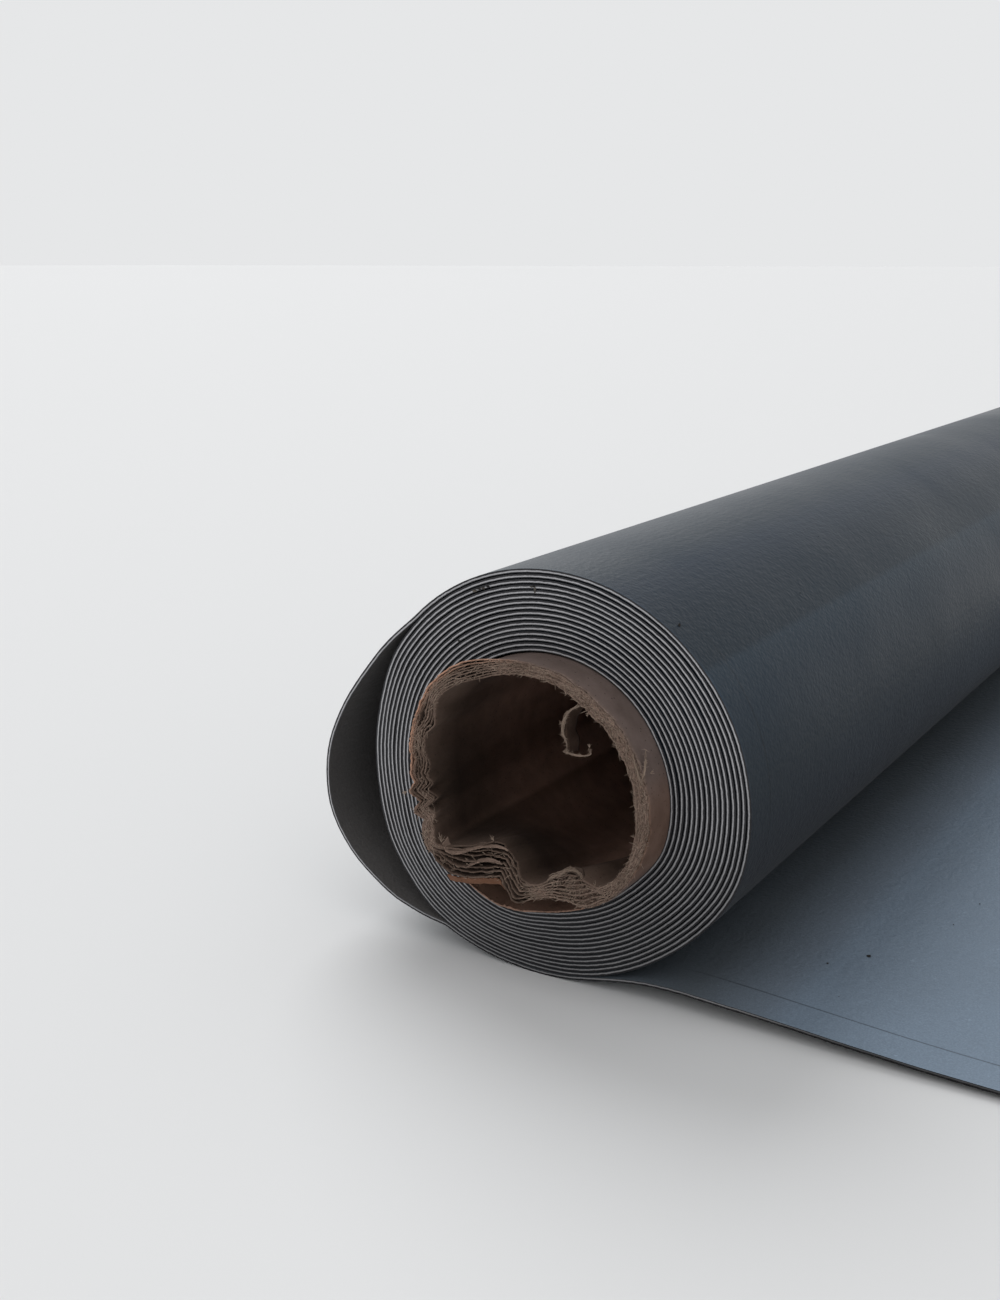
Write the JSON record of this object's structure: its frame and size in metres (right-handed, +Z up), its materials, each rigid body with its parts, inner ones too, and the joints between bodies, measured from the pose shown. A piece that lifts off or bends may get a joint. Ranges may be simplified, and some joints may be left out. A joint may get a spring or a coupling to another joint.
{
  "type": "roll of rubber roofing membrane",
  "caption": "Part-used roll of grey rubber roofing sheet on a torn cardboard tube, lying on its side, with its outer turn sprung loose and the end of the sheet unrolled on the right.",
  "frame": {"origin": "under the middle of the box round the roll and its unrolled end, on the floor", "axes": "+Z up, +Y along the winding axis from the torn tube end to the square end, the unrolled end of the sheet on the +X side"},
  "size_m": [0.3655, 1.015, 0.1308],
  "materials": {
    "membrane": "satin",
    "tube": "matte"
  },
  "bodies": {
    "root": {"membrane_roll": "membrane", "core_tube": "tube"}
  },
  "joints": []
}
